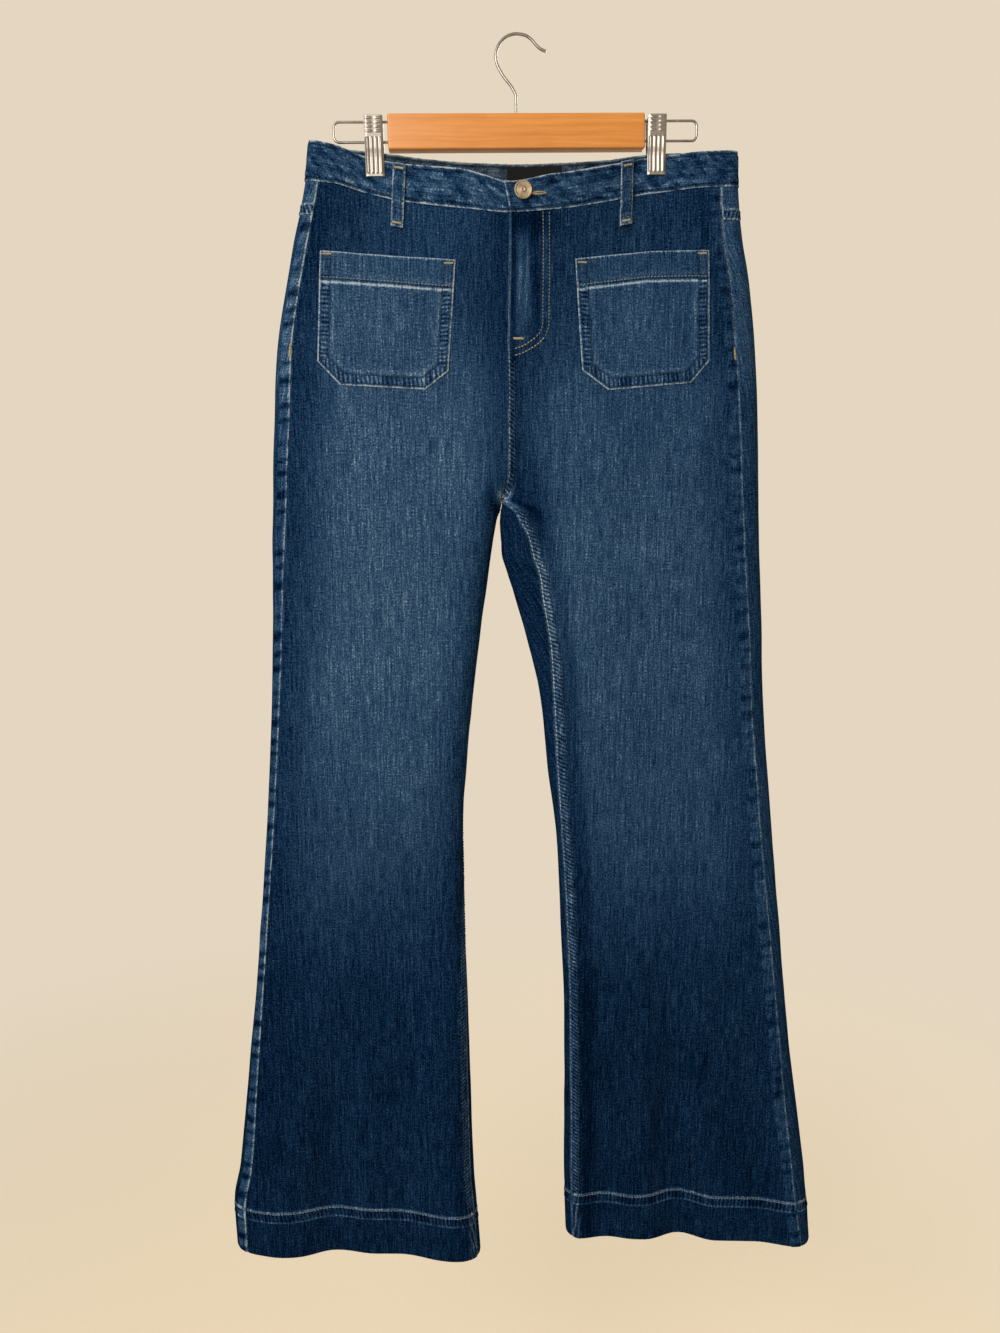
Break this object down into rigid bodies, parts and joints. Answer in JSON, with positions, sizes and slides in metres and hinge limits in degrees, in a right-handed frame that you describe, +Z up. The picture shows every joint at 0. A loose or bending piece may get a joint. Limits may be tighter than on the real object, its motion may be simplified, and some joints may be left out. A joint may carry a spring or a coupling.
{
  "type": "wide-leg jeans on a clip hanger",
  "caption": "High-waist wide-leg denim jeans with front patch pockets, a button waistband and deep hems, hung flat by the waist from a wooden clip hanger.",
  "frame": {"origin": "highest point inside the crook of the hanger's hook, where a rail or peg carries it", "axes": "+Z up, -Y to the front of the jeans, +X to the wearer's left"},
  "size_m": [0.642, 0.0552, 1.2549],
  "materials": {
    "denim": "washed indigo twill",
    "label": "plain black tape",
    "button": "aged",
    "wood": "varnished",
    "steel": "plated"
  },
  "bodies": {
    "root": {"front_panel_right": "denim", "back_panel_right": "denim", "back_yoke_right": "denim", "waistband_right": "denim", "front_pocket_right": "denim", "front_panel_left": "denim", "back_panel_left": "denim", "back_yoke_left": "denim", "waistband_left": "denim", "front_pocket_left": "denim", "belt_loop_front_right": "denim", "belt_loop_front_left": "denim", "belt_loop_side_right": "denim", "belt_loop_side_left": "denim", "belt_loop_back": "denim", "inner_label": "label", "waist_button": "button", "hanger_bar": "wood", "hanger_hook": "steel", "hanger_rail_right": "steel", "hanger_rail_left": "steel", "clip_core_right": "steel", "clip_core_left": "steel", "clip_jaw_front_right": "steel", "clip_jaw_front_left": "steel", "clip_jaw_back_right": "steel", "clip_jaw_back_left": "steel"}
  },
  "joints": []
}
